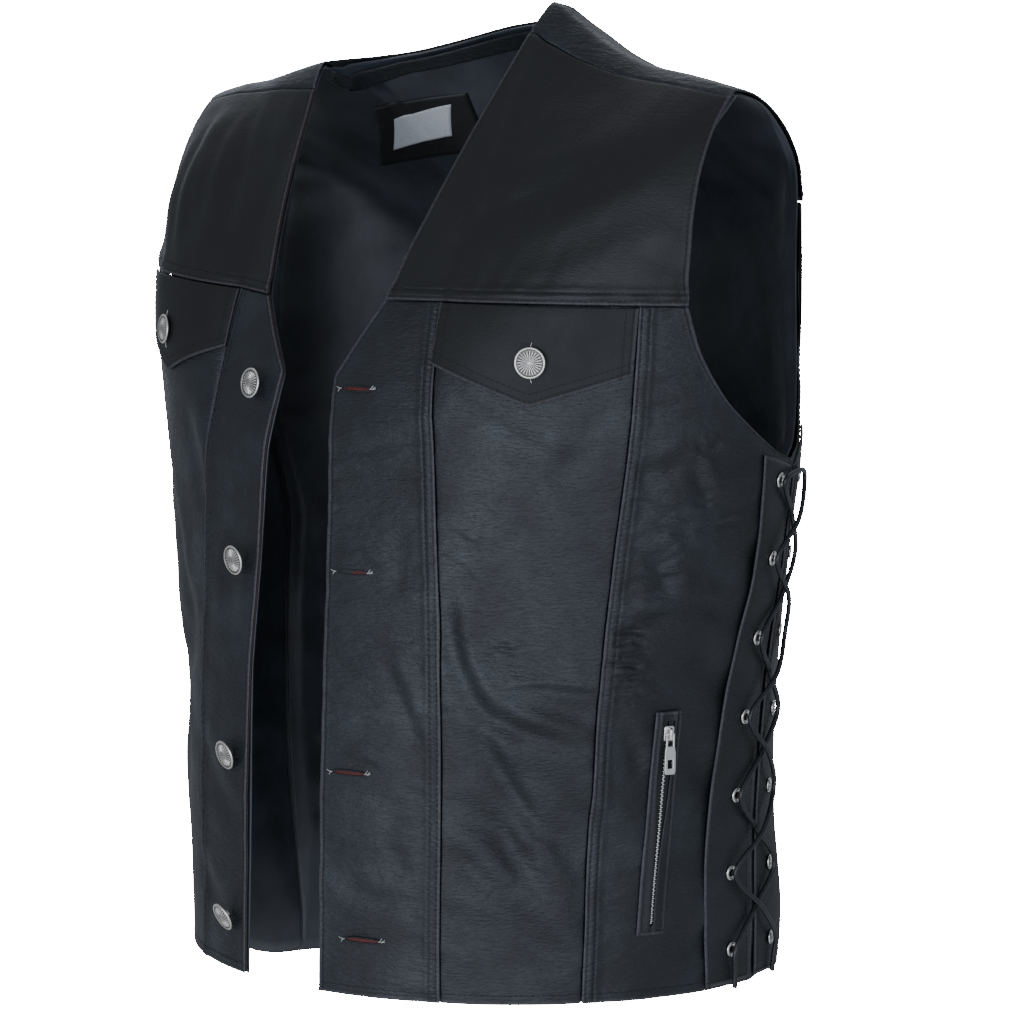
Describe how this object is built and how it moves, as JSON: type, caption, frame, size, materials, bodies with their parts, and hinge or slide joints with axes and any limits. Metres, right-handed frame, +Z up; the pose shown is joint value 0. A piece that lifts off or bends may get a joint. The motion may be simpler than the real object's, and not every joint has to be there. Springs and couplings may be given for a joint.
{
  "type": "leather vest worn open, held on the wearer's shoulders",
  "caption": "Sleeveless black leather vest kept in its worn shape, open down the front, with yokes, pointed pocket flaps, zipped side pockets, metal buttons and laced sides",
  "frame": {"origin": "midway between the shoulders, 9 mm below the top of the left shoulder at the neck", "axes": "+Z up, the front faces -Y, +X is the wearer's left"},
  "size_m": [0.4952, 0.3723, 0.6897],
  "materials": {
    "black_leather": "smooth black cowhide with a fine grain and a soft blue-grey sheen",
    "black_satin": "black satin lining",
    "antique_silver": "aged nickel-silver plate, darker in the recesses",
    "lacing": "black leather lace"
  },
  "bodies": {
    "vest": {"front_yoke_left": "black_leather", "front_centre_left": "black_leather", "front_mid_left": "black_leather", "front_side_left": "black_leather", "pocket_flap_left": "black_leather", "side_strip_front_left": "black_leather", "side_strip_back_left": "black_leather", "zip_welt_left": "black_leather", "zip_slider_left": "antique_silver", "flap_button_left": "antique_silver", "lace_left": "lacing", "eyelet_front_left_1": "antique_silver", "eyelet_front_left_2": "antique_silver", "eyelet_front_left_3": "antique_silver", "eyelet_front_left_4": "antique_silver", "eyelet_front_left_5": "antique_silver", "eyelet_front_left_6": "antique_silver", "eyelet_front_left_7": "antique_silver", "eyelet_back_left_1": "antique_silver", "eyelet_back_left_2": "antique_silver", "eyelet_back_left_3": "antique_silver", "eyelet_back_left_4": "antique_silver", "eyelet_back_left_5": "antique_silver", "eyelet_back_left_6": "antique_silver", "eyelet_back_left_7": "antique_silver", "front_yoke_right": "black_leather", "front_centre_right": "black_leather", "front_mid_right": "black_leather", "front_side_right": "black_leather", "pocket_flap_right": "black_leather", "side_strip_front_right": "black_leather", "side_strip_back_right": "black_leather", "zip_welt_right": "black_leather", "zip_slider_right": "antique_silver", "flap_button_right": "antique_silver", "lace_right": "lacing", "eyelet_front_right_1": "antique_silver", "eyelet_front_right_2": "antique_silver", "eyelet_front_right_3": "antique_silver", "eyelet_front_right_4": "antique_silver", "eyelet_front_right_5": "antique_silver", "eyelet_front_right_6": "antique_silver", "eyelet_front_right_7": "antique_silver", "eyelet_back_right_1": "antique_silver", "eyelet_back_right_2": "antique_silver", "eyelet_back_right_3": "antique_silver", "eyelet_back_right_4": "antique_silver", "eyelet_back_right_5": "antique_silver", "eyelet_back_right_6": "antique_silver", "eyelet_back_right_7": "antique_silver", "back_body": "black_leather", "back_yoke": "black_leather", "neck_facing": "black_leather", "lining": "black_satin", "front_button_1": "antique_silver", "front_button_2": "antique_silver", "front_button_3": "antique_silver", "front_button_4": "antique_silver"},
    "pull_left": {"zip_pull_left": "antique_silver"},
    "pull_right": {"zip_pull_right": "antique_silver"}
  },
  "joints": [
    {"name": "zip_pull_left_swing", "type": "hinge", "parent": "vest", "child": "pull_left", "pos_m": [0.21146, -0.02853, -0.4575], "axis": [-0.3584, -0.9336, 0], "range_deg": [-3, 150]},
    {"name": "zip_pull_right_swing", "type": "hinge", "parent": "vest", "child": "pull_right", "pos_m": [-0.21116, -0.02841, -0.45747], "axis": [-0.3584, 0.9336, 0], "range_deg": [-3, 150]}
  ]
}
